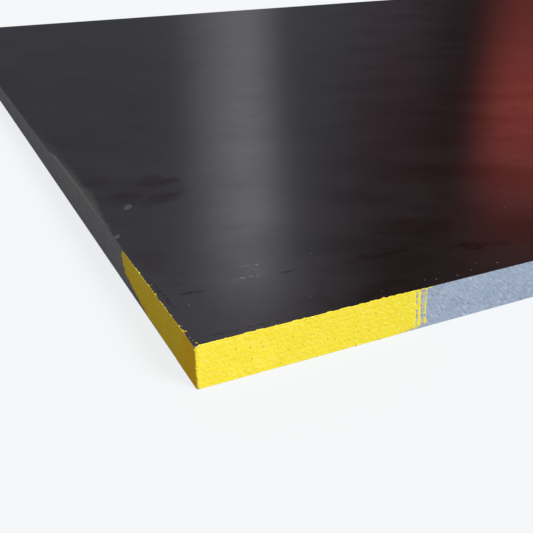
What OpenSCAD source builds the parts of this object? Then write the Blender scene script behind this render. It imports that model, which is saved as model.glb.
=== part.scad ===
// Film-faced birch plywood panel for concrete formwork.
//
// Cross-banded birch veneers are pressed between two phenolic resin films and
// sawn to size. A grey paint seals the four sawn edges, and a yellow paint
// marks the edges at each corner.
//
// Millimetres. The origin is the centre of the back face, which lies on the
// joists. +X runs along the length and +Z points out of the casting face.

/* [Panel] */
// Finished length over the painted edges, along the grain of the face veneers
panel_length = 2500; // [1000:50:3000]
// Finished width over the painted edges
panel_width = 1250; // [500:25:1500]
// Radius of the four upright corners, eased after sawing
corner_r = 0.8; // [0.5:0.1:4]

/* [Veneers] */
// Number of veneers, which is odd so that both faces run the same way
veneer_count = 15; // [5:2:23]
// Pressed thickness of one veneer, with its glue line
veneer_t = 1.36; // [1:0.02:3]
// How far the veneers with their ends at an edge stand out past their neighbours
end_relief = 0.04; // [0:0.01:0.2]

/* [Films] */
// Thickness of the film on each face
film_t = 0.3; // [0.15:0.05:0.6]

/* [Edge paint] */
// Thickness of the grey sealing coat, the same on every layer
seal_t = 0.25; // [0.1:0.05:0.5]
// Thickness of the yellow coat that lies over the seal at the corners
mark_t = 0.15; // [0.05:0.05:0.4]
// How far each corner mark runs along both edges, measured from the corner
mark_length = 110; // [50:5:200]

/* [Hidden] */
$fn = 64;
panel_t = 2 * film_t + veneer_count * veneer_t;
coats_t = seal_t + mark_t;
sawn_size = [panel_length, panel_width] - 2 * (coats_t + end_relief) * [1, 1];
sawn_corner_r = corner_r - coats_t;
past = 1; // what a cutting block runs past the face that it cuts

// Layers are numbered from the back: film 0, veneers 1 to veneer_count, film veneer_count + 1.
top_layer = veneer_count + 1;
function is_film(layer) = layer == 0 || layer == top_layer;
function runs_long(layer) = layer % 2 == 1;
function layer_t(layer) = is_film(layer) ? film_t : veneer_t;
function layer_z(layer) = layer == 0 ? 0 : film_t + (layer - 1) * veneer_t;

// Plan size of a layer: a veneer is longer along its own grain by its proud ends.
function layer_size(layer) =
    sawn_size + (is_film(layer) ? [0, 0] : 2 * end_relief * (runs_long(layer) ? [1, 0] : [0, 1]));

function two_digits(n) = str(n < 10 ? "0" : "", n);
function veneer_name(layer) = str(runs_long(layer) ? "long" : "cross", "_veneer_", two_digits(layer));

// Name and direction of each corner, seen from above with +Y to the back.
CORNERS = [
    ["front_left", [-1, -1]],
    ["front_right", [1, -1]],
    ["back_right", [1, 1]],
    ["back_left", [-1, 1]],
];
function mark_name(corner) = str("corner_mark_", corner[0]);

// Outline with true round corners, centred on the origin.
module rounded_outline(size, r) {
    square([size.x - 2 * r, size.y], center = true);
    square([size.x, size.y - 2 * r], center = true);
    for (sx = [-1, 1], sy = [-1, 1])
        translate([sx * (size.x / 2 - r), sy * (size.y / 2 - r)]) circle(r);
}

// A layer's own slab.
module layer_slab(layer) {
    translate([0, 0, layer_z(layer)])
        linear_extrude(layer_t(layer)) rounded_outline(layer_size(layer), sawn_corner_r);
}

// The band of paint on one layer's edge, from one distance off the wood to another.
module edge_band(layer, from, to) {
    translate([0, 0, layer_z(layer)])
        linear_extrude(layer_t(layer))
            difference() {
                rounded_outline(layer_size(layer) + 2 * to * [1, 1], sawn_corner_r + to);
                rounded_outline(layer_size(layer) + 2 * from * [1, 1], sawn_corner_r + from);
            }
}

// Everything within mark_length of one upright corner.
module corner_block(direction) {
    reach = mark_length + past;
    middle = [for (axis = [0, 1])
        direction[axis] * ([panel_length, panel_width][axis] / 2 - mark_length + reach / 2)];
    translate([middle.x, middle.y, panel_t / 2])
        cube([reach, reach, panel_t + 2 * past], center = true);
}

module veneer(layer) {
    color(runs_long(layer) ? "BurlyWood" : "Tan") layer_slab(layer);
}

module film(layer) {
    color([0.15, 0.13, 0.14]) layer_slab(layer);
}

module edge_seal() {
    color([0.61, 0.67, 0.78])
        for (layer = [0 : top_layer]) edge_band(layer, 0, seal_t);
}

module corner_mark(direction) {
    color([1, 0.91, 0.25])
        intersection() {
            for (layer = [0 : top_layer]) edge_band(layer, seal_t, coats_t);
            corner_block(direction);
        }
}

film(0);  // backing_film
film(top_layer);  // casting_film
edge_seal();
for (layer = [1 : veneer_count])
    veneer(layer);
for (corner = CORNERS)
    corner_mark(corner[1]);
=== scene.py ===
"""Film-faced birch plywood formwork panel: its finishes, studio and camera.

Everything is in metres in the panel's own frame: +X along the length, +Y
across the width, +Z out of the casting face, and the origin at the centre of
the back face.
"""

import math

import bmesh
import bpy
from mathutils import Color, Matrix, Vector, noise


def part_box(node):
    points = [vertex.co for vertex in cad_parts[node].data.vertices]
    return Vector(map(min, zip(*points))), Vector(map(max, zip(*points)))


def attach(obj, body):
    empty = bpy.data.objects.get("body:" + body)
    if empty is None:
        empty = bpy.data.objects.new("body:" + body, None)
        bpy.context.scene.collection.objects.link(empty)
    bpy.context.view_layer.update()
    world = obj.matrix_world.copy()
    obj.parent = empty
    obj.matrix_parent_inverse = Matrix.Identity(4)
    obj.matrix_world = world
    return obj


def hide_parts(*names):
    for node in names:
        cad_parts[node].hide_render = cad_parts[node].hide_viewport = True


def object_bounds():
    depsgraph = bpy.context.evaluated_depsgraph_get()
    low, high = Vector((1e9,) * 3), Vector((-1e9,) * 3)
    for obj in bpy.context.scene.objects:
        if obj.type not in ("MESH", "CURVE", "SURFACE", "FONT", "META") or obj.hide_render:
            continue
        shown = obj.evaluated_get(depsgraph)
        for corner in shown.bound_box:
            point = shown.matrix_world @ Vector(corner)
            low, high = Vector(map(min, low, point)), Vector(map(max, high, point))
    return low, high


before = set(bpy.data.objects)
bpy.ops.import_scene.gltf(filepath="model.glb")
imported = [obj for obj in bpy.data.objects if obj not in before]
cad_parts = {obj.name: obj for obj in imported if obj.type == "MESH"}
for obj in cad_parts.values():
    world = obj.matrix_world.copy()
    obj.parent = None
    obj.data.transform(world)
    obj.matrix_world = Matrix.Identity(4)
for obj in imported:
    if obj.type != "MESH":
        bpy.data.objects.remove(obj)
cad_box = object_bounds()

MM = 0.001

# The panel, from its frame.
PANEL_LOW, PANEL_HIGH = cad_box
NEAR_CORNER = Vector((PANEL_LOW.x, PANEL_LOW.y, PANEL_HIGH.z))
VENEERS = sorted((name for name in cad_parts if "_veneer_" in name), key=lambda name: name[-2:])
MARKS = sorted(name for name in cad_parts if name.startswith("corner_mark_"))
FILM_LOW, FILM_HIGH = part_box("casting_film")
SEAL_LOW, SEAL_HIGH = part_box("edge_seal")
FILM_T = FILM_HIGH.z - FILM_LOW.z
VENEER_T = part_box(VENEERS[0])[1].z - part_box(VENEERS[0])[0].z
MARK_T = SEAL_LOW.x - PANEL_LOW.x
END_RELIEF = FILM_LOW.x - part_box(VENEERS[0])[0].x
CORNER_R = 0.8 * MM

# The coats. Both lap LAP far over the arrises onto the films, and the films lie LAP_T
# below the panel's faces to leave room for that. The seal's laps lie SEAL_SINK below the
# marks' laps over them. A coat's piece goes on inwards as far as COAT_T, so that its
# hollows never open, and the paint evens out the LEVELLED share of each ply's step.
LAP = 3 * MM
LAP_T = 0.05 * MM
SEAL_SINK = 0.04 * MM
COAT_T = 0.55 * MM
LEVELLED = 0.5

# How the pieces are cut: points this near count as one place, edges and faces this
# straight count as lying along an axis, and roundings are cut into this many strips. A
# lap's first inset squares the rounding off and then merges what met there. Both are
# shares of the corner's radius past the arris.
TOUCHING = 0.002 * MM
STRAIGHT = 0.999
CORNER_STRIPS, ARRIS_STRIPS = 6, 2
SQUARED, MERGED = 0.8, 0.56
LAP_COLUMNS = 5
SMOOTH_BELOW = math.radians(50)


# ---------------------------------------------------------------- modelling


def deselect_all():
    """Leaves nothing selected or active."""
    if bpy.context.object and bpy.context.object.mode != "OBJECT":
        bpy.ops.object.mode_set(mode="OBJECT")
    bpy.ops.object.select_all(action="DESELECT")


def add_block(name, low, high):
    """A closed block between two corners, ready for edit mode."""
    deselect_all()
    bpy.ops.mesh.primitive_cube_add(size=1, location=(low + high) / 2, scale=high - low)
    piece = bpy.context.object
    piece.name = piece.data.name = name
    bpy.ops.object.transform_apply(location=True, rotation=True, scale=True)
    return piece


def select(piece, kind, wanted):
    """In edit mode, selects only the vertices, edges or faces that wanted says yes to."""
    bpy.ops.mesh.select_mode(type=kind)
    bpy.ops.mesh.select_all(action="DESELECT")
    mesh = bmesh.from_edit_mesh(piece.data)
    parts = {"VERT": mesh.verts, "EDGE": mesh.edges, "FACE": mesh.faces}[kind]
    for part in parts:
        if wanted(part):
            part.select_set(True)
    mesh.select_flush_mode()
    bmesh.update_edit_mesh(piece.data)


def split_edges(piece, wanted, *shares):
    """Cuts the chosen edges into equal lengths, which leaves ladders of four-sided faces."""
    for share in shares:
        select(piece, "EDGE", wanted)
        bpy.ops.mesh.subdivide(number_cuts=share - 1, quadcorner="INNERVERT")


def round_edges(piece, wanted, radius, strips):
    """Rounds the chosen edges."""
    select(piece, "EDGE", wanted)
    bpy.ops.mesh.bevel(offset=radius, segments=strips, affect="EDGES")


def apply_modifier(piece, kind, **settings):
    """Adds a modifier to the active piece and applies it."""
    modifier = piece.modifiers.new(kind.lower(), kind)
    for name, value in settings.items():
        setattr(modifier, name, value)
    bpy.context.view_layer.objects.active = piece
    bpy.ops.object.modifier_apply(modifier=modifier.name)


def weigh(piece, name, weight):
    """A vertex group whose weight is worked out from each vertex."""
    group = piece.vertex_groups.new(name=name)
    for vertex in piece.data.vertices:
        group.add([vertex.index], max(0.0, min(1.0, weight(vertex))), "REPLACE")


def relief_texture(name, grain, kind="CLOUDS", **settings):
    """A procedural height for Displace, with its grain in metres."""
    texture = bpy.data.textures.new(name, kind)
    texture.noise_scale = grain
    for setting, value in settings.items():
        setattr(texture, setting, value)
    return texture


def press(piece, group, height, texture=None, stretch=(1, 1, 1), turn=(0, 0, 0), middle=0.5, way="NORMAL"):
    """Moves a weighted part of the surface by a height, or by a texture that stretch and turn lay out.

    The texture's level at middle stays where it is, and brighter parts go outwards.
    """
    guide = bpy.data.objects.new("relief_guide", None)
    bpy.context.scene.collection.objects.link(guide)
    guide.scale = stretch
    guide.rotation_euler = turn
    bpy.context.view_layer.update()
    settings = dict(vertex_group=group, strength=height, mid_level=middle, direction=way)
    if texture:
        settings.update(texture=texture, texture_coords="OBJECT", texture_coords_object=guide)
    apply_modifier(piece, "DISPLACE", **settings)
    bpy.data.objects.remove(guide)


def smooth_step(low, high, value):
    """0 below low, 1 above high and a smooth rise between."""
    t = max(0.0, min(1.0, (value - low) / (high - low)))
    return t * t * (3 - 2 * t)


def follow(stations, value):
    """The height at value along straight lines between (place, height) stations."""
    for (x0, y0), (x1, y1) in zip(stations, stations[1:]):
        if value <= x1:
            return y0 + (y1 - y0) * max(0.0, value - x0) / (x1 - x0)
    return stations[-1][1]


def finish_piece(piece, slot, material, *nodes):
    """Fixes a finished piece to the panel in place of its nodes."""
    piece.data.materials.clear()
    piece.data.materials.append(material)
    deselect_all()
    piece.select_set(True)
    bpy.context.view_layer.objects.active = piece
    bpy.ops.object.shade_smooth_by_angle(angle=SMOOTH_BELOW)
    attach(piece, "root")
    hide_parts(*nodes)
    return piece


# ---------------------------------------------------------------- coats


def depth_from_edge(point, low, high, radius):
    """How far a point lies inside the rounded outline of a block, seen from above."""
    from_x = min(point.x - low.x, high.x - point.x)
    from_y = min(point.y - low.y, high.y - point.y)
    if max(from_x, from_y) < radius:
        return radius - math.hypot(radius - from_x, radius - from_y)
    return min(from_x, from_y)


def coat_shell(name, low, high, radius, corners, stretches, rows):
    """A closed coat of paint over a block's side walls, with laps over its top and its bottom.

    corners holds the plan places of the upright edges to round. A coat round only one
    corner keeps only the two walls there, and its depths count from the panel's far
    walls, not from its own ends. stretches are (axis, from, to, shares) spans of the
    walls, each cut into equal columns, and rows is the cuts of each veneer.
    """
    arris = FILM_T
    far = high if len(corners) > 1 else PANEL_HIGH
    piece = add_block(name, low, high)
    bpy.ops.object.mode_set(mode="EDIT")

    def on_rounded_corner(edge):
        a, b = (v.co for v in edge.verts)
        return abs(a.z - b.z) > arris and any((a.xy - c).length < TOUCHING for c in corners)

    def on_arris(edge):
        a, b = (v.co for v in edge.verts)
        return abs(a.z - b.z) < TOUCHING and not edge.is_boundary

    if len(corners) == 1:
        select(piece, "FACE", lambda face: face.normal.x > 0.5 or face.normal.y > 0.5)
        bpy.ops.mesh.delete(type="FACE")
    round_edges(piece, on_rounded_corner, radius, CORNER_STRIPS)
    round_edges(piece, on_arris, arris, ARRIS_STRIPS)
    to_square, merged = SQUARED * (radius - arris), MERGED * (radius - arris)
    for side in (1, -1):
        select(piece, "FACE", lambda face: face.normal.z * side > STRAIGHT)
        bpy.ops.mesh.inset(thickness=to_square, use_boundary=False)
        bpy.ops.mesh.remove_doubles(threshold=merged)
        bpy.ops.mesh.inset(thickness=LAP - arris - to_square, use_boundary=False)
        bpy.ops.mesh.delete(type="FACE")
    for axis, start, end, _ in stretches:
        across = Vector((axis == 0, axis == 1, 0))
        for cut in (start, end):
            if low[axis] + LAP < cut < high[axis] - LAP:
                bpy.ops.mesh.select_all(action="SELECT")
                bpy.ops.mesh.bisect(plane_co=across * cut, plane_no=across)
    bpy.ops.object.mode_set(mode="OBJECT")
    apply_modifier(piece, "SOLIDIFY", thickness=COAT_T, offset=-1, use_even_offset=True)
    bpy.ops.object.mode_set(mode="EDIT")

    def along(axis, start, end):
        def wanted(edge):
            a, b = (v.co for v in edge.verts)
            middle = (a + b) / 2
            beside = min(middle[1 - axis] - low[1 - axis], far[1 - axis] - middle[1 - axis])
            lengthwise = abs((b - a).normalized()[axis]) > STRAIGHT and beside < 1.1 * LAP
            return lengthwise and start < middle[axis] < end and (b - a).length > arris

        return wanted

    def upright_on_skin(edge):
        a, b = (v.co for v in edge.verts)
        outside = all(depth_from_edge(p, low, far, radius) < 10 * TOUCHING for p in (a, b))
        return outside and abs(a.z - b.z) > VENEER_T / 2

    def across_lap(edge):
        a, b = (v.co for v in edge.verts)
        depths = [depth_from_edge(p, low, far, radius) for p in (a, b)]
        return min(a.z, b.z) > high.z - TOUCHING and abs(depths[0] - depths[1]) > arris / 2

    for axis, start, end, shares in stretches:
        split_edges(piece, along(axis, start, end), *shares)
    split_edges(piece, upright_on_skin, len(VENEERS), rows)
    split_edges(piece, across_lap, LAP_COLUMNS)
    bpy.ops.object.mode_set(mode="OBJECT")
    return piece


def step_the_plies(piece, low, high):
    """Sets back the coat over the veneers whose long grain shows at a wall."""
    bpy.ops.object.mode_set(mode="EDIT")
    for axis, proud in ((0, "long"), (1, "cross")):
        set_back = [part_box(name) for name in VENEERS if not name.startswith(proud)]
        for wall, inwards in ((low, 1), (high, -1)):

            def over_set_back_ply(vertex):
                on_wall = abs(vertex.co[axis] - wall[axis]) < TOUCHING
                up = vertex.co.z
                return on_wall and any(a.z + TOUCHING < up < b.z - TOUCHING for a, b in set_back)

            select(piece, "VERT", over_set_back_ply)
            move = [0, 0, 0]
            move[axis] = inwards * (1 - LEVELLED) * END_RELIEF
            bpy.ops.transform.translate(value=move)
    bpy.ops.object.mode_set(mode="OBJECT")


SKIN_T = END_RELIEF + 0.05 * MM


def on_wall_skin(p, low, high, radius):
    """Whether a point is on a coat's upright outer skin, which the relief is pressed into."""
    return depth_from_edge(p, low, high, radius) < SKIN_T


def on_lap_skin(p, low, high):
    """Whether a point is on a coat's lap over either film."""
    return min(p.z - low.z, high.z - p.z) < FILM_T / 4


# The relief of the paint, as the grain of each kind and how deep it goes, in metres.
# It rises from nothing at the first of ARRIS_CALM to full at the second, off each arris.
SPRAY_GRAIN, SPRAY_DEPTH = 1.1 * MM, 0.08 * MM
SAW_GRAIN, SAW_DEPTH, SAW_STRETCH, SAW_SLOPE = 0.6 * MM, 0.07 * MM, (4, 4, 1), math.radians(42)
PORE_SPACING, PORE_DEPTH, PORE_STRETCH, PORE_RIM = 2.9 * MM, 0.07 * MM, (1, 1, 1.3), (0.1, 0.24)
ARRIS_CALM = (0.1 * MM, 0.6 * MM)


def roughen(piece, low, high, radius, shown):
    """Presses the sprayed grain, saw lines and open pores of sawn plies into a coat's skin.

    shown says how much of the relief each point takes.
    """

    def on_skin(vertex):
        if not on_wall_skin(vertex.co, low, high, radius):
            return 0.0
        from_arris = min(vertex.co.z - low.z, high.z - vertex.co.z)
        return smooth_step(*ARRIS_CALM, from_arris) * shown(vertex.co)

    weigh(piece, "skin", on_skin)
    spray = relief_texture("sprayed_grain", SPRAY_GRAIN, noise_depth=2)
    press(piece, "skin", SPRAY_DEPTH, spray, middle=1)
    saw = relief_texture("saw_lines", SAW_GRAIN, noise_depth=1)
    press(piece, "skin", SAW_DEPTH, saw, stretch=SAW_STRETCH, turn=(0, SAW_SLOPE, 0), middle=1)
    pores = relief_texture("open_pores", PORE_SPACING, "VORONOI", use_color_ramp=True)
    pores.color_ramp.elements[0].color = (0, 0, 0, 1)
    for rim, place in zip(pores.color_ramp.elements, PORE_RIM):
        rim.position = place
    press(piece, "skin", PORE_DEPTH, pores, stretch=PORE_STRETCH, middle=1)


# How each coat's laps run out into the film: how far a lap sinks, how much its height
# wanders, and the share of the wandering that sinks it. Half of the sinking comes within
# LAP_BREAK of the arris, and the wandering is full past RUNS_START, both in millimetres.
SEAL_LAP = (0.07 * MM, 0.08 * MM, 0.5)
MARK_LAP = (0.1 * MM, 0.3 * MM, 0.64)
LAP_BREAK, RUNS_START, RUN_GRAIN = 0.15, 0.2, 1.3 * MM


def run_out_laps(piece, low, high, radius, lap, kept):
    """Thins the laps away into the films, with a ragged end on the casting face.

    lap is the coat's (sinking, wandering, share) as above, and kept says how much less
    of both a point takes.
    """
    drop, ragged, level = lap

    def over_film(p):
        return (depth_from_edge(p, low, high, radius) - FILM_T) / MM

    def lap_weight(side, share):
        def weight(vertex):
            p = vertex.co
            here = on_lap_skin(p, low, high) and (p.z - PANEL_HIGH.z / 2) * side > 0
            return share(over_film(p)) * (1 - kept(p)) if here else 0.0

        return weight

    for side, name in ((1, "lap_casting"), (-1, "lap_back")):
        weigh(piece, name, lap_weight(side, lambda t: (smooth_step(0, LAP_BREAK, t) + t) / 2))
        press(piece, name, -side * drop, middle=0, way="Z")
    weigh(piece, "runs", lap_weight(1, lambda t: smooth_step(0, RUNS_START, t)))
    runs = relief_texture("paint_runs", RUN_GRAIN, noise_depth=3)
    press(piece, "runs", ragged, runs, middle=level, way="Z")


# Along X and Y, the seal lies sunk by COVER_SINK under each mark, as far as COVERED from its
# corner. From there to FINE_END from the near corner it is cut fine, and FAR_SPAN is the
# last stretch, at the far corners. SEAL_SHARES are the columns of the four stretches,
# first along X and then along Y. COVER_RIM is how far off an arris the sinking starts.
COVERED = Vector((90 * MM, 66 * MM))
FINE_END = Vector((195 * MM, 205 * MM))
FAR_SPAN = Vector((190 * MM, 190 * MM))
SEAL_SHARES = (((3, 10), (10, 23), (4, 16), (5, 8)), ((3, 10), (12, 14), (3, 16), (5, 8)))
SEAL_ROWS = 3
COVER_FADE = 4 * MM
COVER_SINK = 0.3 * MM
COVER_RIM = (0.3 * MM, 0.9 * MM)

# The mark's piece reaches MARK_REACH from its corner. The seal's lap stands under it by
# STANDS_UNDER_MARK, and that ends over MARK_END. Past the mark, grey was wiped over the
# left arris: the lap stands from WIPE_START, widens over WIPE_WIDENS between the two of
# WIPE_WIDTH, with an edge soft out to WIPE_EDGE of that, and dies away over WIPE_STOPS.
# All but the widths count from the near corner.
MARK_REACH = 118 * MM
MARK_END = (110 * MM, 118 * MM)
STANDS_UNDER_MARK = 0.7
WIPE_START = MARK_REACH - 5 * MM
WIPE_WIDENS = (115 * MM, 240 * MM)
WIPE_WIDTH = (0.6 * MM, 2.6 * MM)
WIPE_EDGE = 1.3
WIPE_STOPS = (290 * MM, 430 * MM)


def seal_the_edges(material):
    """The grey coat round all four sawn edges, cut finest beside the near corner's mark."""
    low, high = SEAL_LOW.copy(), SEAL_HIGH.copy()
    low.z += SEAL_SINK
    high.z -= SEAL_SINK
    radius = CORNER_R - MARK_T
    corners = [Vector((x, y)) for x in (low.x, high.x) for y in (low.y, high.y)]
    fine_start, fine_end, far = low.xy + COVERED, low.xy + FINE_END, high.xy - FAR_SPAN
    stretches = []
    for axis, shares in enumerate(SEAL_SHARES):
        cuts = (low[axis] + radius, fine_start[axis], fine_end[axis], far[axis], high[axis] - radius)
        stretches += [(axis, *stretch) for stretch in zip(cuts, cuts[1:], shares)]
    piece = coat_shell("edge_seal_coat", low, high, radius, corners, stretches, SEAL_ROWS)
    step_the_plies(piece, low, high)

    def from_corner(p):
        return Vector((min(p.x - low.x, high.x - p.x), min(p.y - low.y, high.y - p.y)))

    def under_mark(p):
        away = from_corner(p)
        axis = 0 if away.x > away.y else 1
        return 1 - smooth_step(COVERED[axis] - COVER_FADE, COVERED[axis], away[axis])

    def finely_cut(p):
        cuts = []
        for axis in (0, 1):
            opens = smooth_step(fine_start[axis], fine_start[axis] + COVER_FADE, p[axis])
            closes = smooth_step(fine_end[axis] - COVER_FADE, fine_end[axis], p[axis])
            cuts.append(opens * (1 - closes))
        near_wall = p.x - low.x < LAP or p.y - low.y < LAP
        return max(cuts) * near_wall

    def hidden(vertex):
        p = vertex.co
        from_arris = min(p.z - low.z, high.z - p.z)
        off_lap = smooth_step(*COVER_RIM, from_arris)
        return under_mark(p) * off_lap * on_wall_skin(p, low, high, radius)

    def thicker_lap(p):
        along = p.y - low.y
        under = STANDS_UNDER_MARK * (1 - smooth_step(*MARK_END, max(from_corner(p))))
        narrow, broad = WIPE_WIDTH
        wide = narrow + (broad - narrow) * smooth_step(*WIPE_WIDENS, along)
        on_left = 1 - smooth_step(wide, WIPE_EDGE * wide, p.x - low.x)
        wiped = (along > WIPE_START) * (1 - smooth_step(*WIPE_STOPS, along))
        return max(under, on_left * wiped)

    weigh(piece, "hidden", hidden)
    roughen(piece, low, high, radius, finely_cut)
    press(piece, "hidden", -COVER_SINK, middle=0)
    run_out_laps(piece, low, high, radius, SEAL_LAP, thicker_lap)
    return finish_piece(piece, "edge_seal_paint", material, "edge_seal")


# The yellow marks, where plain numbers are millimetres. The solid yellow of each wall ends
# at (height, distance from the corner) stations. Past that it sinks into the seal by
# (distance, sink) stations, brushed out in streaks on the front and stopped short on the
# left, where the end also wanders. BLOBS are (wall, distance, size). LUMPS_START is how
# far from the corner the lumps of a lap begin, and they stop LUMPS_STOP from its end.
FRONT_END = ((0, 98), (1.2, 109), (2, 110), (20, 109), (20.6, 115), (20.9, 115), (21, 111))
LEFT_END = ((0, 8), (0.45, 40), (1, 74), (4.7, 93), (8, 108), (13.5, 112.5), (21, 112))
BRUSHED_OUT = ((-1.2, 0), (0, 0.15), (0.5, 0.15), (1.1, 0.05), (2, 0.08), (2.8, 0.17),
               (4.2, 0.16), (5.2, 0.12), (6, 0.15), (6.6, 0.25), (8, 0.3))
STOPPED = ((-1.5, 0), (0, 0.12), (1.2, 0.16), (3, 0.3))
DEEPEST_SINK = 0.3
BLOBS = (("front", 91.5, 0.7), ("front", 103, 0.5), ("left", 79.5, 0.8), ("left", 63.5, 0.7),
         ("left", 53, 0.5), ("left", 19, 0.6), ("left", 14.4, 0.6))
BLOB_RIM = (0.6 * MM, 1.2 * MM)
END_WANDER, END_GRAIN = 3.2, 4.5 * MM
LUMP_GRAIN, LUMP_LEVEL, LUMPS_START, LUMPS_STOP = 3.2 * MM, (-0.1, 0.3), (6, 14), 2
LUMP_REACH = {"front": 0.55 * MM, "left": 0.3 * MM}

# Wear and streaks: how deep the near corner and the start of its left arris are worn and
# how far that reaches, how high up the left arris is, how wide the upright arris is
# chipped, the deepest wear that leaves beads of paint, as a share of DEEPEST_SINK, and
# where the streaks of the brush come and go round the end of the solid yellow.
CORNER_WEAR, CORNER_WEAR_REACH, ARRIS_WEAR_REACH = 0.25, (1.2 * MM, 2.4 * MM), (8, 12)
LEFT_ARRIS = (20.4, 20.8)
CHIP_WIDTH = (0.6 * MM, 1.3 * MM)
BEADS_END = 0.4
STREAKS_COME, STREAKS_GO = (-3, 1), (6, 9)

# The marks' own relief: what takes it, its grain and detail, how deep it goes, the level
# of it that stays in place, and its lie.
MARK_RELIEF = (
    ("brushed", 0.42 * MM, 2, 0.3 * MM, 0.55, dict(stretch=(1, 1, 7), turn=(0, math.radians(-2), 0))),
    ("chipped", 1.5 * MM, 3, 0.4 * MM, 0.9, {}),
    ("beaded", 2.2 * MM, 2, 0.22 * MM, 1, {}),
)

# The stretches that the mark's walls are cut into, by where the streaks start.
BRUSHED_FROM = 96 * MM
SOLID_SHARES, BRUSHED_SHARES, LEFT_SHARES = (12, 18), (10, 13), (12, 20)
MARK_ROWS = 4


def place_on_mark(p):
    """The wall of the near mark that a point is on, and its distance from the corner and height in mm."""
    along_x, along_y = (p.x - PANEL_LOW.x) / MM, (p.y - PANEL_LOW.y) / MM
    wall = "front" if along_x > along_y else "left"
    return wall, max(along_x, along_y), (p.z - PANEL_LOW.z) / MM


def from_edge(p):
    """How far a point is from the nearer of the panel's two edges at the near corner."""
    return min(p.x - PANEL_LOW.x, p.y - PANEL_LOW.y)


def past_mark_end(p):
    """How far past the end of the solid yellow a point is, in mm."""
    wall, along, up = place_on_mark(p)
    if wall == "front":
        return along - follow(FRONT_END, up)
    return along - follow(LEFT_END, up) + END_WANDER * noise.noise(p / END_GRAIN)


def blob_of_paint(p):
    """How much of a blob of paint stands on the lap at a point."""
    wall, along, _ = place_on_mark(p)
    stands = 1 - smooth_step(*BLOB_RIM, from_edge(p))
    heaps = (math.exp(-(((along - at) / size) ** 2)) for side, at, size in BLOBS if side == wall)
    return stands * max(heaps)


def uneven_lap(p):
    """How much of the mark's lap stands at a point, so that its edge on the film is lumpy."""
    wall, along, _ = place_on_mark(p)
    lumps = smooth_step(*LUMP_LEVEL, noise.noise(p / LUMP_GRAIN)) * smooth_step(*LUMPS_START, along)
    reach = LUMP_REACH[wall]
    stands = 1 - smooth_step(FILM_T + 0.5 * reach, FILM_T + 1.5 * reach, from_edge(p))
    return max(blob_of_paint(p), lumps * stands * (past_mark_end(p) < -LUMPS_STOP))


def model_corner_mark():
    """The yellow mark at the front left corner, thick on its walls and brushed out at its ends."""
    low, high = PANEL_LOW, PANEL_HIGH
    end = Vector((low.x + MARK_REACH, low.y + MARK_REACH, high.z))
    brushed_from = low.x + BRUSHED_FROM
    stretches = [
        (0, low.x + CORNER_R, brushed_from, SOLID_SHARES),
        (0, brushed_from, end.x, BRUSHED_SHARES),
        (1, low.y + CORNER_R, end.y, LEFT_SHARES),
    ]
    piece = coat_shell("corner_mark", low, end, CORNER_R, [low.xy], stretches, MARK_ROWS)
    step_the_plies(piece, low, high)

    def on_left_arris(p):
        wall, _, up = place_on_mark(p)
        return (wall == "left") * smooth_step(*LEFT_ARRIS, up)

    def sunk(vertex):
        p = vertex.co
        if not (on_wall_skin(p, low, high, CORNER_R) or on_lap_skin(p, low, high)):
            return 0.0
        wall, along, _ = place_on_mark(p)
        stations = BRUSHED_OUT if wall == "front" else STOPPED
        corner_worn = 1 - smooth_step(*CORNER_WEAR_REACH, (p - NEAR_CORNER).length)
        arris_worn = on_left_arris(p) * (1 - smooth_step(*ARRIS_WEAR_REACH, along))
        worn = CORNER_WEAR * max(corner_worn, arris_worn)
        return max(worn, follow(stations, past_mark_end(p))) / DEEPEST_SINK

    def chipped(vertex):
        p = vertex.co
        from_upright = (p.xy - low.xy).length
        return on_wall_skin(p, low, high, CORNER_R) * (1 - smooth_step(*CHIP_WIDTH, from_upright))

    def beaded(vertex):
        p = vertex.co
        return on_left_arris(p) * (1 - blob_of_paint(p)) * (sunk(vertex) < BEADS_END)

    def brushed(vertex):
        past = past_mark_end(vertex.co)
        on_wall = on_wall_skin(vertex.co, low, high, CORNER_R) and sunk(vertex) > 0
        return smooth_step(*STREAKS_COME, past) * (1 - smooth_step(*STREAKS_GO, past)) * on_wall

    weigh(piece, "sunk", sunk)
    weigh(piece, "brushed", brushed)
    roughen(piece, low, high, CORNER_R, lambda p: 1.0)
    weigh(piece, "beaded", beaded)
    weigh(piece, "chipped", chipped)
    for group, grain, detail, depth, middle, lie in MARK_RELIEF:
        texture = relief_texture(group + "_paint", grain, noise_depth=detail)
        press(piece, group, depth, texture, middle=middle, **lie)
    press(piece, "sunk", -DEEPEST_SINK * MM, middle=0)
    run_out_laps(piece, low, high, CORNER_R, MARK_LAP, uneven_lap)
    bpy.ops.object.mode_set(mode="EDIT")
    select(piece, "FACE", lambda face: len(face.verts) > 4)
    bpy.ops.mesh.poke()
    bpy.ops.object.mode_set(mode="OBJECT")
    return piece


def mark_the_corners(material):
    """The four yellow corner marks, one modelled and its copies mirrored to the other corners."""
    first = model_corner_mark()
    for name in MARKS:
        deselect_all()
        first.select_set(True)
        bpy.context.view_layer.objects.active = first
        bpy.ops.object.duplicate()
        mark = bpy.context.object
        mark.name = mark.data.name = name + "_coat"
        mark.scale = (-1 if "right" in name else 1, -1 if "back" in name else 1, 1)
        bpy.ops.object.transform_apply(location=False, rotation=False, scale=True)
        bpy.ops.object.mode_set(mode="EDIT")
        bpy.ops.mesh.select_all(action="SELECT")
        bpy.ops.mesh.normals_make_consistent(inside=False)
        bpy.ops.object.mode_set(mode="OBJECT")
        finish_piece(mark, "corner_mark_paint", material, name)
    bpy.data.objects.remove(first)


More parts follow.
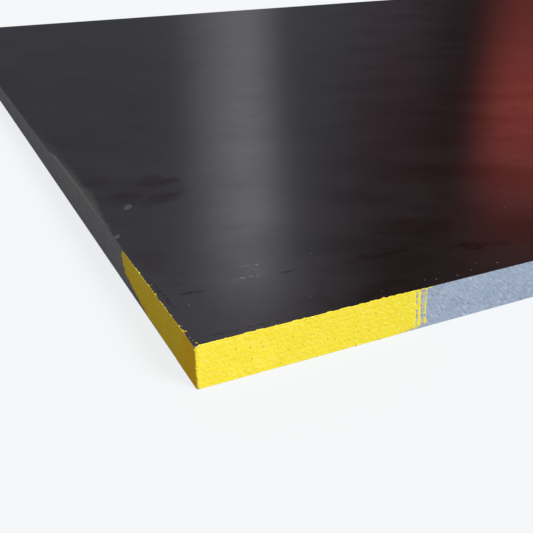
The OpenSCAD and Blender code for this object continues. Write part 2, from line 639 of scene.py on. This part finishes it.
def lay_film(name, node, material):
    """A pressed film with softened arrises, a lap's thickness below the paint that laps over it."""
    low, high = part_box(node)
    if node == "backing_film":
        low.z += LAP_T
    else:
        high.z -= LAP_T
    piece = add_block(name, low, high)

    def upright(edge):
        return abs(edge.verts[0].co.z - edge.verts[1].co.z) > FILM_T / 2

    bpy.ops.object.mode_set(mode="EDIT")
    round_edges(piece, upright, CORNER_R - MARK_T, CORNER_STRIPS)
    round_edges(piece, lambda edge: not upright(edge), LAP_T, ARRIS_STRIPS)
    select(piece, "FACE", lambda face: abs(face.normal.z) > STRAIGHT)
    bpy.ops.mesh.inset(thickness=LAP_T)
    bpy.ops.object.mode_set(mode="OBJECT")
    return finish_piece(piece, "phenolic_film", material, node)


# Dried specks on the casting film, as millimetres from the near corner along the front
# edge and along the left edge, then their width and length.
GREY_SPECKS = ((21, 175, 4.2, 9.5), (2.5, 131, 3.2, 7), (62.5, 17.4, 0.8, 0.9), (42, 2.1, 0.9, 0.7),
               (38, 1.3, 0.8, 0.7), (94.4, 6.9, 0.6, 0.8), (118.7, 7.2, 0.8, 0.9), (124, 5.7, 0.9, 1.2),
               (135.6, 4.5, 1.1, 1.2), (145, 6, 0.8, 1), (162, 6.9, 1.2, 1.6), (12, 57, 0.6, 0.9),
               (130, 11, 0.5, 0.6), (1.3, 18.6, 1.2, 2.2))
YELLOW_SPECKS = ((2, 2.4, 1, 0.8), (1.2, 13.5, 1.4, 1), (1.1, 7.6, 0.5, 0.4), (1.4, 5.2, 0.4, 0.4),
                 (1.7, 63, 0.5, 0.6), (91.5, 1.2, 1.3, 1))
SPECK_T = 0.8 * LAP_T
SPECK_TURN, SPECK_SWING = -0.45, 0.1
SPECK_GRAIN, SPECK_RAGGED = 0.5 * MM, 0.3 * MM


def flick_specks(name, places, slot, material):
    """Flat dried drops of paint that stand on the casting film, about as thick as a lap."""
    deselect_all()
    drops = []
    for number, (along, back, width, length) in enumerate(places):
        middle = Vector((PANEL_LOW.x + along * MM, PANEL_LOW.y + back * MM, PANEL_HIGH.z - LAP_T))
        bpy.ops.mesh.primitive_ico_sphere_add(subdivisions=3, radius=1, location=middle)
        drop = bpy.context.object
        drop.rotation_euler.z = SPECK_TURN + SPECK_SWING * math.cos(2 * (number + 1))
        drop.scale = (width / 2 * MM, length / 2 * MM, SPECK_T)
        drops.append(drop)
    for drop in drops:
        drop.select_set(True)
    bpy.ops.object.join()
    piece = bpy.context.object
    bpy.ops.object.transform_apply(location=True, rotation=True, scale=True)
    piece.name = piece.data.name = name
    weigh(piece, "all", lambda vertex: 1.0)
    press(piece, "all", SPECK_RAGGED, relief_texture("drop_outline", SPECK_GRAIN), way="X")
    return finish_piece(piece, slot, material)


# ---------------------------------------------------------------- finishes


def colour(red, green, blue):
    """A colour as it looks on a screen, 0 to 255 a channel, in the light values a shader takes."""
    return (*Color((red / 255, green / 255, blue / 255)).from_srgb_to_scene_linear(), 1.0)


def feed(socket, value):
    """Feeds a socket from another socket, or sets it to a plain value."""
    if isinstance(value, bpy.types.NodeSocket):
        socket.id_data.links.new(value, socket)
    else:
        socket.default_value = value


def add_node(tree, kind, sockets, **settings):
    """A shader node with its settings, and its sockets fed by name or number."""
    node = tree.nodes.new("ShaderNode" + kind)
    for name, value in settings.items():
        setattr(node, name, value)
    for name, value in sockets.items():
        feed(node.inputs[name], value)
    return node


def bare_tree(owner):
    """The emptied node tree of a material or world."""
    owner.use_nodes = True
    owner.node_tree.nodes.clear()
    return owner.node_tree


def new_finish(name):
    """An empty material, its shader, and the object coordinates that its patterns read."""
    material = bpy.data.materials.new(name)
    tree = bare_tree(material)
    shader = add_node(tree, "BsdfPrincipled", {})
    add_node(tree, "OutputMaterial", {"Surface": shader.outputs["BSDF"]})
    return material, tree, shader, add_node(tree, "TexCoord", {}).outputs["Object"]


def calc(tree, operation, *values):
    """A sum on numbers or sockets."""
    return add_node(tree, "Math", dict(enumerate(values)), operation=operation).outputs[0]


def between(tree, value, start, end, low=0.0, high=1.0):
    """low while value is at start, high once it reaches end, and a straight run between."""
    sockets = {"Value": value, "From Min": start, "From Max": end, "To Min": low, "To Max": high}
    return add_node(tree, "MapRange", sockets).outputs[0]


def blend(tree, amount, under, over, way="MIX"):
    """One colour laid over another by an amount."""
    sockets = {0: amount, 6: under, 7: over}
    return add_node(tree, "Mix", sockets, data_type="RGBA", blend_type=way).outputs[2]


def lay_tones(tree, tone, layers):
    """Lays colours over a tone in turn.

    Each is (pattern, start, full, most, colour): it shows from where the pattern is at
    start, and at its most once the pattern reaches full.
    """
    for pattern, start, full, most, over in layers:
        tone = blend(tree, between(tree, pattern, start, full, 0, most), tone, colour(*over))
    return tone


def part_along(tree, vector, axis):
    """The part of a place or a direction along one axis."""
    return add_node(tree, "SeparateXYZ", {0: vector}).outputs[axis]


def placed(tree, coords, grain, stretch=(1, 1, 1), turn=(0, 0, 0)):
    """Coordinates that count grains, stretched and turned to lie along the work."""
    sockets = {"Vector": coords, "Rotation": turn, "Scale": [grain * s for s in stretch]}
    return add_node(tree, "Mapping", sockets, vector_type="TEXTURE").outputs[0]


def clouds(tree, coords, grain, detail=2.0, **lie):
    """Soft random cloudiness from 0 to 1, of a grain in metres."""
    sockets = {"Vector": placed(tree, coords, grain, **lie), "Scale": 1.0, "Detail": detail}
    return add_node(tree, "TexNoise", sockets).outputs["Fac"]


def dots(tree, coords, spacing, size, **lie):
    """Round random dots from 0 to 1, spaced and sized in metres."""
    sockets = {"Vector": placed(tree, coords, spacing, **lie), "Scale": 1.0}
    distance = add_node(tree, "TexVoronoi", sockets).outputs["Distance"]
    return between(tree, distance, size / spacing, 0.6 * size / spacing)


def dress(tree, shader, tone, roughness, relief, depth):
    """Gives a shader its colour, its roughness, and fine relief of a depth in metres."""
    feed(shader.inputs["Base Color"], tone)
    feed(shader.inputs["Roughness"], roughness)
    sockets = {"Height": relief, "Distance": depth, "Strength": 1.0}
    feed(shader.inputs["Normal"], add_node(tree, "Bump", sockets).outputs[0])


# Fine patterns of the sprayed paint, in metres. Pinholes are full where a glue line lies
# open, by its height above the back face, and faint elsewhere.
SPECKLE_GRAIN, SPECKLE_SLOPE = 1.1 * MM, math.radians(20)
STROKE_GRAIN = 0.75 * MM
PINHOLE_SPACING, PINHOLE_SIZE = 2.3 * MM, 0.45 * MM
OPEN_GLUE_LINES = (7.1 * MM, 13.6 * MM)
GLUE_LINE_RIM = (1.8 * MM, 0.6 * MM)
PINHOLES_ELSEWHERE = 0.3
PAINT_BUMP = 0.1 * MM


def sprayed_skin(tree, coords):
    """Patterns of paint sprayed on sawn ply: its grain, its saw strokes, its pinholes and its relief."""
    grain = clouds(tree, coords, SPECKLE_GRAIN, 3.0, stretch=PORE_STRETCH, turn=(0, SPECKLE_SLOPE, 0))
    strokes = clouds(tree, coords, STROKE_GRAIN, stretch=SAW_STRETCH, turn=(0, SAW_SLOPE, 0))
    pinholes = dots(tree, coords, PINHOLE_SPACING, PINHOLE_SIZE, stretch=PORE_STRETCH)
    rows = PINHOLES_ELSEWHERE
    for line in OPEN_GLUE_LINES:
        away = calc(tree, "ABSOLUTE", calc(tree, "SUBTRACT", part_along(tree, coords, "Z"), line))
        rows = calc(tree, "MAXIMUM", rows, between(tree, away, *GLUE_LINE_RIM))
    pinholes = calc(tree, "MULTIPLY", pinholes, rows)
    return grain, strokes, pinholes, calc(tree, "SUBTRACT", calc(tree, "ADD", grain, strokes), pinholes)


def facing(tree, axis):
    """How far the surface faces along an axis, from -1 to 1."""
    return part_along(tree, add_node(tree, "NewGeometry", {}).outputs["Normal"], axis)


def looking_left(tree):
    """1 on the wall at the left end and 0 on the others."""
    return between(tree, facing(tree, "X"), -0.6, -0.9)


# The yellow paint. It thins out over THINS_OUT away from the near corner, FOOT is knocked,
# and the left wall takes an amber tint by the corner, up to a given reach, with an edge that
# wanders: painted warm light on that shaded wall. All three are places in the panel's frame.
THINS_OUT = (PANEL_LOW.x + 15 * MM, PANEL_LOW.x + 100 * MM)
FOOT = (1 * MM, 0.3 * MM)
PAINTED_AMBER_REACH = (PANEL_LOW.y + 18 * MM, PANEL_LOW.y + 13 * MM)
AMBER_WANDER, KNOCK_GRAIN = 4 * MM, 3.2 * MM


def make_yellow_paint():
    """Lemon yellow spray paint, thinner away from its corner, with painted highlights and painted shade
    over its grain, strokes and pinholes.
    """
    material, tree, shader, coords = new_finish("corner_mark_paint")
    grain, strokes, pinholes, relief = sprayed_skin(tree, coords)
    foot = between(tree, part_along(tree, coords, "Z"), *FOOT)
    knocks = between(tree, clouds(tree, coords, KNOCK_GRAIN, 3.0), 0.63, 0.67)
    ragged = between(tree, grain, 0.3, 0.7, -AMBER_WANDER, AMBER_WANDER)
    painted_amber = between(tree, calc(tree, "ADD", part_along(tree, coords, "Y"), ragged), *PAINTED_AMBER_REACH)
    tone = lay_tones(tree, colour(255, 242, 70), (
        (clouds(tree, coords, 11 * MM), 0.35, 0.7, 1, (251, 234, 60)),
        (part_along(tree, coords, "X"), *THINS_OUT, 0.8, (241, 229, 58)),
        # painted highlights and painted shade: paler and darker flecks over the saw strokes and grain of
        # the relief
        (strokes, 0.56, 0.7, 0.4, (236, 214, 48)),
        (strokes, 0.42, 0.3, 0.45, (255, 246, 130)),
        (grain, 0.6, 0.7, 0.7, (255, 248, 150)),
        (grain, 0.38, 0.3, 0.7, (212, 188, 40)),
        # painted shade in the pinholes
        (pinholes, 0, 1, 0.6, (176, 154, 44)),
        (calc(tree, "MULTIPLY", foot, knocks), 0, 1, 1, (110, 90, 44)),
        # painted warm light: an amber tint on the shaded left-facing wall by the corner
        (calc(tree, "MULTIPLY", painted_amber, looking_left(tree)), 0, 1, 1, (255, 222, 45)),
    ))
    dress(tree, shader, tone, between(tree, grain, 0.3, 0.7, 0.72, 0.5), relief, PAINT_BUMP)
    shader.inputs["Specular IOR Level"].default_value = 0.4
    return material


# The grey paint. Its left wall is darkened by painted shade. A lap over the film is thin, and the
# dark film shows through it, but where grey was wiped on, within LEFT_LAP of the left edge and
# PAST_MARK, it is THIN_GREY.
LEFT_WALL_SHADE = (0.75, 0.73, 0.75, 1.0)
THIN_GREY, THIN_OVER_FILM = (62, 62, 61), (32, 33, 54)
LEFT_LAP = (PANEL_LOW.x + 2 * LAP, PANEL_LOW.x + 1.5 * LAP)
PAST_MARK = (PANEL_LOW.y + MARK_REACH - 6 * MM, PANEL_LOW.y + MARK_REACH)


def make_grey_paint():
    """Blue-grey edge sealer, paler over the end grain plies, with painted highlights and painted shade over
    its grain, strokes and pinholes, painted shade on its left wall, and dark where it laps.
    """
    material, tree, shader, coords = new_finish("edge_seal_paint")
    grain, strokes, pinholes, relief = sprayed_skin(tree, coords)
    above_film = calc(tree, "SUBTRACT", part_along(tree, coords, "Z"), FILM_T)
    in_pair = calc(tree, "PINGPONG", calc(tree, "DIVIDE", above_film, 2 * VENEER_T), 0.5)
    tone = lay_tones(tree, colour(157, 177, 205), (
        (clouds(tree, coords, 9 * MM), 0.35, 0.7, 1, (149, 169, 197)),
        (in_pair, 0.2, 0.3, 0.1, (172, 188, 214)),
        # painted highlights and painted shade: paler and darker flecks over the grain and saw strokes of
        # the relief
        (strokes, 0.55, 0.7, 0.65, (124, 140, 166)),
        (strokes, 0.43, 0.3, 0.65, (192, 209, 236)),
        (grain, 0.62, 0.72, 0.5, (190, 206, 232)),
        (grain, 0.38, 0.28, 0.5, (126, 142, 168)),
        # painted shade in the pinholes
        (pinholes, 0, 1, 0.6, (88, 98, 112)),
    ))
    # painted shade: the left-facing wall is multiplied darker
    tone = blend(tree, looking_left(tree), tone, LEFT_WALL_SHADE, way="MULTIPLY")
    on_left = between(tree, part_along(tree, coords, "X"), *LEFT_LAP)
    past_mark = between(tree, part_along(tree, coords, "Y"), *PAST_MARK)
    wiped = calc(tree, "MULTIPLY", on_left, past_mark)
    lap_tone = blend(tree, wiped, colour(*THIN_OVER_FILM), colour(*THIN_GREY))
    flat = calc(tree, "ABSOLUTE", facing(tree, "Z"))
    tone = blend(tree, between(tree, flat, 0.35, 0.7, 0, 0.94), tone, lap_tone)
    dress(tree, shader, tone, between(tree, grain, 0.3, 0.7, 0.74, 0.55), relief, PAINT_BUMP)
    shader.inputs["Specular IOR Level"].default_value = 0.35
    return material


# The dust on a dried speck.
DUST_GRAIN, DUST_BUMP = 0.4 * MM, 0.02 * MM


def make_speck_paint(name, pale, dull):
    """A dried drop of edge paint, dusty and matt."""
    material, tree, shader, coords = new_finish(name)
    dusty = clouds(tree, coords, DUST_GRAIN)
    tone = lay_tones(tree, colour(*pale), ((dusty, 0.35, 0.65, 1, dull),))
    dress(tree, shader, tone, between(tree, dusty, 0.3, 0.7, 0.6, 0.8), dusty, DUST_BUMP)
    return material


# What use has left on the casting film: soft dark smears, short dark scrapes and pale
# rubbed dashes, whose paleness is partly painted glint. Each is millimetres from the near corner
# along the front edge and along the left edge, half its length and half its width, its turn in
# degrees and its strength.
SMEARS = ((50, 214, 19, 20, 0, 0.9), (44, 182, 25, 12, 22, 0.9), (25, 194, 18, 15, 0, 0.85),
          (16, 232, 19, 13, 0, 0.6), (8, 88, 14, 25, -8, 0.9), (13, 62, 9, 14, -12, 0.6),
          (21, 42, 19, 17, -12, 0.6), (155, 63, 30, 16, -18, 0.3), (97, 9, 24, 9, -4, 0.4),
          (112, 42, 36, 4, -1, 0.5), (167, 29, 22, 4, -15, 0.4), (66, 14, 6, 12, 0, 0.35),
          (38, 202, 36, 38, 0, 0.4))
SCRAPES = ((11.5, 57.5, 7, 0.7, -6, 0.9), (16, 46.5, 9, 1.6, -8, 1.0), (66, 46, 6.5, 1.6, -6, 0.8),
           (16.5, 4.9, 10, 0.5, -5, 1.0), (34, 4, 12, 0.5, -4, 0.9), (19.5, 30, 1, 16, -12, 0.3),
           (3.2, 50, 1.6, 22, 2, 0.7))
RUBS_AND_GLINTS = ((46.5, 49.4, 11, 2.2, -5, 1.0), (52.5, 61, 7, 1.6, -10, 0.8), (52, 55, 6, 4, 0, 0.3),
        (84, 52, 26, 3, -6, 0.08))
PATCH_DEPTH = 5 * MM
SMEAR_WANDER = (11 * MM, 14 * MM)


def patches(tree, coords, places):
    """How strongly a point lies in any of several soft ellipses on the casting film, 0 to 1."""
    inside = 0.0
    for right, back, length, width, turn, strength in places:
        sockets = {
            "Vector": coords,
            "Location": NEAR_CORNER + Vector((right, back, 0)) * MM,
            "Rotation": (0, 0, math.radians(turn)),
            "Scale": (length * MM, width * MM, PATCH_DEPTH),
        }
        lie = add_node(tree, "Mapping", sockets, vector_type="TEXTURE").outputs[0]
        away = add_node(tree, "VectorMath", {0: lie}, operation="LENGTH").outputs["Value"]
        inside = calc(tree, "MAXIMUM", inside, between(tree, away, 1.0, 0.45, 0, strength))
    return inside


# The same wipe of grey as a stain on the film: it widens over STAIN_WIDENS from the first
# of STAIN_WIDTH to the second, then thins out and stops. All but the widths are places.
STAIN_WIDENS = (PANEL_LOW.y + 122 * MM, PANEL_LOW.y + 200 * MM)
STAIN_WIDTH = (0.3 * MM, 6.8 * MM)
STAIN_THINS = (PANEL_LOW.y + 205 * MM, PANEL_LOW.y + 290 * MM)
STAIN_STOPS = (PANEL_LOW.y + 290 * MM, PANEL_LOW.y + 430 * MM)


def wiped_grey_paint(tree, coords):
    """How thickly grey edge paint was wiped over the left arris onto the film, 0 to 1."""
    back = part_along(tree, coords, "Y")
    width = between(tree, back, *STAIN_WIDENS, *STAIN_WIDTH)
    uneven = between(tree, clouds(tree, coords, 9 * MM, 3.0), 0.3, 0.7, 1.25, 0.75)
    from_left = calc(tree, "SUBTRACT", part_along(tree, coords, "X"), PANEL_LOW.x)
    share = calc(tree, "DIVIDE", calc(tree, "MULTIPLY", from_left, uneven), width)
    amount = between(tree, share, 1.1, 0.5, 0, 0.9)
    thins = between(tree, back, *STAIN_THINS, 1, 0.45)
    stops = between(tree, back, *STAIN_STOPS, 1, 0)
    on_casting_face = between(tree, part_along(tree, coords, "Z"), PANEL_HIGH.z / 2, PANEL_HIGH.z)
    for part in (thins, stops, on_casting_face):
        amount = calc(tree, "MULTIPLY", amount, part)
    return amount


def wandering(tree, coords, grain, reach):
    """Coordinates that wander up to reach either way in the film's plane, which makes outlines uneven."""
    sockets = {"Vector": placed(tree, coords, grain), "Scale": 1.0, "Detail": 3.0}
    wander = add_node(tree, "TexNoise", sockets).outputs["Color"]
    flat = (2 * reach, 2 * reach, 0)
    for operation, by in (("SUBTRACT", (0.5, 0.5, 0.5)), ("MULTIPLY", flat), ("ADD", coords)):
        wander = add_node(tree, "VectorMath", {0: wander, 1: by}, operation=operation).outputs[0]
    return wander


# The film's own patterns: the grain of each in metres, and how it is stretched and turned.
CLOUDY = dict(grain=42 * MM, detail=5.0, stretch=(1.5, 1, 1), turn=(0, 0, math.radians(-35)))
WIPED = dict(grain=9 * MM, detail=3.0, stretch=(1.8, 1, 1), turn=(0, 0, math.radians(-6)))
MOTTLE = dict(grain=1.1 * MM)
BROKEN = dict(grain=1.6 * MM, detail=3.0, stretch=(2.2, 1, 1))
DUST_SPACING, DUST_SIZE = 19 * MM, 0.5 * MM
FILM_BUMP = 0.006 * MM


def make_film():
    """Dark brown phenolic film, half glossy, with smears, scrapes, rubs pale partly as painted glints, dust
    and a wipe of grey paint.
    """
    material, tree, shader, coords = new_finish("phenolic_film")
    cloudy, wiped, mottle, broken = (clouds(tree, coords, **lie) for lie in (CLOUDY, WIPED, MOTTLE, BROKEN))
    dust = dots(tree, coords, DUST_SPACING, DUST_SIZE)
    soaked = patches(tree, wandering(tree, coords, *SMEAR_WANDER), SMEARS)
    smeared = calc(tree, "MULTIPLY", soaked, between(tree, wiped, 0.42, 0.52, 0.75, 1))
    scraped = calc(tree, "MULTIPLY", patches(tree, coords, SCRAPES), between(tree, broken, 0.47, 0.53))
    rubbed_and_glinting = calc(tree, "MULTIPLY", patches(tree, coords, RUBS_AND_GLINTS), between(tree, broken, 0.52, 0.58))
    wiped_on = wiped_grey_paint(tree, coords)
    tone = lay_tones(tree, colour(33, 28, 31), (
        (cloudy, 0.38, 0.66, 1, (22, 14, 15)),
        (wiped, 0.5, 0.7, 0.5, (20, 13, 14)),
        (mottle, 0.45, 0.7, 0.2, (42, 37, 40)),
        (smeared, 0, 1, 1, (20, 2, 3)),
        (scraped, 0, 1, 1, (8, 6, 7)),
        # pale rub marks, partly painted glints
        (rubbed_and_glinting, 0, 1, 1, (98, 98, 102)),
        (wiped_on, 0, 1, 1, THIN_GREY),
        (dust, 0, 1, 0.7, (120, 122, 128)),
    ))
    rough = between(tree, cloudy, 0.35, 0.7, 0.19, 0.22)
    rough = calc(tree, "ADD", rough, between(tree, mottle, 0.4, 0.7, 0, 0.04))
    rough = calc(tree, "ADD", rough, between(tree, wiped, 0.5, 0.75, 0, 0.02))
    for mark, duller in ((scraped, 0.35), (wiped_on, 0.35), (smeared, -0.13)):
        rough = calc(tree, "ADD", rough, calc(tree, "MULTIPLY", mark, duller))
    relief = calc(tree, "SUBTRACT", calc(tree, "ADD", mottle, rubbed_and_glinting), scraped)
    dress(tree, shader, tone, rough, relief, FILM_BUMP)
    return material


# The patterns of birch, along the grain: its fibres, its figure and its dark flecks.
FIBRES = dict(grain=0.6 * MM, detail=3.0, stretch=(40, 1, 1))
FIGURE = dict(grain=14 * MM, detail=3.0, stretch=(9, 1, 1))
FLECKS = dict(spacing=3 * MM, size=0.5 * MM, stretch=(5, 1, 1))
FIBRE_BUMP = 0.05 * MM


def make_birch(name, turn):
    """Peeled birch veneer, pale and straight grained, with its grain turned along or across the panel."""
    material, tree, shader, coords = new_finish(name)
    lie = (0, 0, turn)
    fibres = clouds(tree, coords, turn=lie, **FIBRES)
    tone = lay_tones(tree, colour(222, 192, 150), (
        (clouds(tree, coords, turn=lie, **FIGURE), 0.3, 0.7, 1, (201, 164, 118)),
        (fibres, 0.5, 0.75, 0.5, (176, 134, 90)),
        (dots(tree, coords, turn=lie, **FLECKS), 0, 1, 0.3, (128, 88, 54)),
    ))
    dress(tree, shader, tone, between(tree, fibres, 0.3, 0.7, 0.6, 0.75), fibres, FIBRE_BUMP)
    return material


def show_the_veneers():
    """Birch on all the veneers, with the grain of each the way the ply runs."""
    lengthwise = make_birch("birch_veneer_long", 0)
    across = make_birch("birch_veneer_cross", math.radians(90))
    for name in VENEERS:
        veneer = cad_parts[name]
        veneer.data.materials.clear()
        veneer.data.materials.append(lengthwise if name.startswith("long") else across)


# ---------------------------------------------------------------- studio

# The floor glows with FLOOR_OWN_LIGHT of the backdrop's light, and the rest is lit, so that
# it takes a faint shadow. Sizes are in metres.
BACKDROP = colour(243, 246.5, 249.5)
FLOOR_OWN_LIGHT = 0.87
AMBIENT_TINT = (1.3, 1.0, 0.7, 1.0)
AMBIENT = 0.4
FLOOR_SIZE, TENT_RADIUS, RUNNER_SIZE = 60, 20, 12
# The runner is a dark sheet that only reflections see: painted shade of the floor beside the panel.
RUNNER_RISE, FLOOR_SHADE_TONE = 0.1 * MM, (0.02, 0.02, 0.02, 1.0)

# The key light: its strength, how wide and soft it is, how far it leans down from
# overhead and how far that is turned to the right of the front.
KEY_STRENGTH, KEY_WIDTH = 3.2, math.radians(25)
KEY_LEAN, KEY_TURN = math.radians(52), math.radians(30)

# The camera: sensor and lens in millimetres, the nearest that it sees in metres, the way it
# looks, and where it stands.
SENSOR, LENS, NEAREST = 36, 49.4556, 0.01
HEADING, LOOK_DOWN, ROLL = math.radians(-24.5431), math.radians(24.6756), math.radians(-1.46)
CAMERA_PLACE = NEAR_CORNER + Vector((-78.62, -244.83, 152.11)) * MM


def direct_looks(tree):
    """1 for the camera's own rays and for what gloss and glass show, and 0 for soft bounced light."""
    path = add_node(tree, "LightPath", {}).outputs
    seen = calc(tree, "MAXIMUM", path["Is Camera Ray"], path["Is Glossy Ray"])
    return calc(tree, "MAXIMUM", seen, path["Is Transmission Ray"])


def light_the_room():
    """Soft even light from all round, and the pale backdrop wherever the backdrop itself is seen."""
    world = bpy.data.worlds.new("studio")
    bpy.context.scene.world = world
    tree = bare_tree(world)
    soft = add_node(tree, "Background", {"Color": AMBIENT_TINT, "Strength": AMBIENT})
    backdrop = add_node(tree, "Background", {"Color": BACKDROP, "Strength": 1.0})
    sockets = {0: direct_looks(tree), 1: soft.outputs[0], 2: backdrop.outputs[0]}
    shader = add_node(tree, "MixShader", sockets)
    add_node(tree, "OutputWorld", {"Surface": shader.outputs[0]})


def lay_floor():
    """A plain pale floor, which keeps a soft trace of the panel's shadow."""
    deselect_all()
    bpy.ops.mesh.primitive_plane_add(size=FLOOR_SIZE)
    floor = bpy.context.object
    floor.name = "studio_floor"
    material = bpy.data.materials.new("floor_paper")
    tree = bare_tree(material)
    lit = (*((1 - FLOOR_OWN_LIGHT) * c for c in BACKDROP[:3]), 1.0)
    paper = add_node(tree, "BsdfDiffuse", {"Color": lit})
    glow = calc(tree, "MULTIPLY", direct_looks(tree), FLOOR_OWN_LIGHT)
    own_light = add_node(tree, "Emission", {"Color": BACKDROP, "Strength": glow})
    shader = add_node(tree, "AddShader", {0: paper.outputs[0], 1: own_light.outputs[0]})
    add_node(tree, "OutputMaterial", {"Surface": shader.outputs[0]})
    floor.data.materials.append(material)


def stage_finish(name, tone):
    """The finish of a studio cloth, which shows its own tone and doesn't light the object."""
    material = bpy.data.materials.new(name)
    tree = bare_tree(material)
    cloth = add_node(tree, "Emission", {"Color": tone(tree), "Strength": 1.0})
    add_node(tree, "OutputMaterial", {"Surface": cloth.outputs[0]})
    material.cycles.emission_sampling = "NONE"
    return material


def show_only_in_gloss(cloth):
    """Keeps a studio cloth out of everything but reflections."""
    for ray in ("camera", "diffuse", "transmission", "shadow", "volume_scatter"):
        setattr(cloth, "visible_" + ray, False)


# What the film mirrors: a dim room to the left, a tall pale window ahead, and a dark side to
# the right with something rusty in it and a dim red between. Each lies between the middle
# two of four headings and fades out to the outer two, in degrees from +Y towards +X. The
# dark side leans over, by LEAN for each degree of height above LEANS_FROM. Tones are by
# height in degrees, so that a flatter view isn't a paler one.
WINDOW = (15, 20, 21.5, 24)
DARK_SIDE = (26.2, 35, 70, 100)
RUSTY = (39, 42, 46, 52)
DIM_RED = (28, 32, 33.5, 37.5)
ROOM_TONES = ((0, 0.055), (10, 0.075), (17, 0.105), (20, 0.135), (22, 0.18), (24, 0.21),
              (29, 0.44), (90, 0.3))
WINDOW_TONES = ((0, 0.16), (9, 0.25), (16, 0.58), (21, 1.1), (23, 1.36), (25, 1.36), (28, 0.8),
                (32, 0.5), (90, 0.3))
DARK_TONES = ((0, 0.005), (18, 0.01), (26, 0.02), (40, 0.1), (90, 0.3))
RUSTY_TONES = ((0, 0), (9, 0.1), (12, 0.75), (15.5, 1), (18, 0.46), (21, 0.12), (24, 0), (90, 0))
DIM_RED_TONES = ((0, 0), (10, 0.5), (14, 1), (18, 1), (22, 0.5), (26, 0), (90, 0))
LEAN, LEANS_FROM = 0.35, math.radians(18)
ROOM_TINT, WINDOW_TINT = (0.93, 1.02, 1.2, 1.0), (0.89, 0.9, 0.99, 1.0)
RUST, DULL_RED = (1.15, 0.18, 0.14, 1.0), (0.085, 0.042, 0.052, 1.0)


def room_tone(tree):
    """The tone of the room round the panel by heading and height."""
    coords = add_node(tree, "TexCoord", {}).outputs["Object"]
    way = add_node(tree, "VectorMath", {0: coords}, operation="NORMALIZE").outputs[0]
    heading = calc(tree, "ARCTAN2", part_along(tree, way, "X"), part_along(tree, way, "Y"))
    height = calc(tree, "ARCSINE", part_along(tree, way, "Z"))
    share_up = calc(tree, "DIVIDE", height, math.pi / 2)

    def sector(opens, full, closes, shut, heading=heading):
        rise = between(tree, heading, math.radians(opens), math.radians(full))
        fall = between(tree, heading, math.radians(closes), math.radians(shut))
        return calc(tree, "SUBTRACT", rise, fall)

    def by_height(stations):
        ramp = add_node(tree, "ValToRGB", {"Fac": share_up})
        marks = ramp.color_ramp.elements
        for place, _ in stations[1:-1]:
            marks.new(place / 90)
        for mark, (place, tone) in zip(sorted(marks, key=lambda m: m.position), stations):
            mark.position, mark.color = place / 90, (tone, tone, tone, 1.0)
        return ramp.outputs["Color"]

    room = blend(tree, 1.0, by_height(ROOM_TONES), ROOM_TINT, way="MULTIPLY")
    window = blend(tree, 1.0, by_height(WINDOW_TONES), WINDOW_TINT, way="MULTIPLY")
    tone = blend(tree, sector(*WINDOW), room, window)
    lean = calc(tree, "MULTIPLY", calc(tree, "SUBTRACT", height, LEANS_FROM), LEAN)
    leaning = calc(tree, "ADD", heading, lean)
    tone = blend(tree, sector(*DARK_SIDE, heading=leaning), tone, by_height(DARK_TONES))
    for headings, tones, red in ((DIM_RED, DIM_RED_TONES, DULL_RED), (RUSTY, RUSTY_TONES, RUST)):
        amount = calc(tree, "MULTIPLY", sector(*headings), by_height(tones))
        tone = blend(tree, amount, tone, red)
    return tone


def hang_cloths():
    """A tent round the panel for the film and the edges to mirror, and under the panel a dark sheet that
    only reflections see, painted shade of the floor.
    """
    deselect_all()
    bpy.ops.mesh.primitive_uv_sphere_add(segments=64, ring_count=32, radius=TENT_RADIUS)
    tent = bpy.context.object
    tent.name = "studio_tent"
    tent.data.materials.append(stage_finish("tent_cloth", room_tone))
    show_only_in_gloss(tent)
    deselect_all()
    # painted shade: a dark sheet under the panel that only reflections see
    bpy.ops.mesh.primitive_plane_add(size=RUNNER_SIZE, location=(0, 0, RUNNER_RISE))
    shade_sheet = bpy.context.object
    shade_sheet.name = "studio_floor_shade"
    shade_sheet.data.materials.append(stage_finish("floor_shade_cloth", lambda tree: FLOOR_SHADE_TONE))
    show_only_in_gloss(shade_sheet)


def light_the_panel():
    """One big soft key light from the front right."""
    key = bpy.data.lights.new("soft_key", "SUN")
    key.energy = KEY_STRENGTH
    key.angle = KEY_WIDTH
    lamp = bpy.data.objects.new("soft_key", key)
    lamp.rotation_euler = (KEY_LEAN, 0, KEY_TURN)
    bpy.context.scene.collection.objects.link(lamp)


def place_camera():
    """Close over the near corner, looking along the panel and down."""
    data = bpy.data.cameras.new("camera")
    data.sensor_width = SENSOR
    data.lens = LENS
    data.clip_start = NEAREST
    camera = bpy.data.objects.new("camera", data)
    heading = Matrix.Rotation(HEADING, 4, "Z")
    tilt = Matrix.Rotation(math.pi / 2 - LOOK_DOWN, 4, "X")
    roll = Matrix.Rotation(ROLL, 4, "Z")
    camera.matrix_world = Matrix.Translation(CAMERA_PLACE) @ heading @ tilt @ roll
    bpy.context.scene.collection.objects.link(camera)
    bpy.context.scene.camera = camera


def build():
    """Every piece and finish, then the studio."""
    seal_the_edges(make_grey_paint())
    mark_the_corners(make_yellow_paint())
    film = make_film()
    lay_film("casting_film_sheet", "casting_film", film)
    lay_film("backing_film_sheet", "backing_film", film)
    grey_speck = make_speck_paint("grey_speck_paint", (76, 78, 82), (56, 58, 62))
    flick_specks("grey_specks", GREY_SPECKS, "edge_seal_paint", grey_speck)
    yellow_speck = make_speck_paint("yellow_speck_paint", (232, 205, 40), (180, 152, 34))
    flick_specks("yellow_specks", YELLOW_SPECKS, "corner_mark_paint", yellow_speck)
    show_the_veneers()
    light_the_room()
    lay_floor()
    hang_cloths()
    light_the_panel()
    place_camera()
    bpy.context.scene.view_settings.view_transform = "Standard"


build()
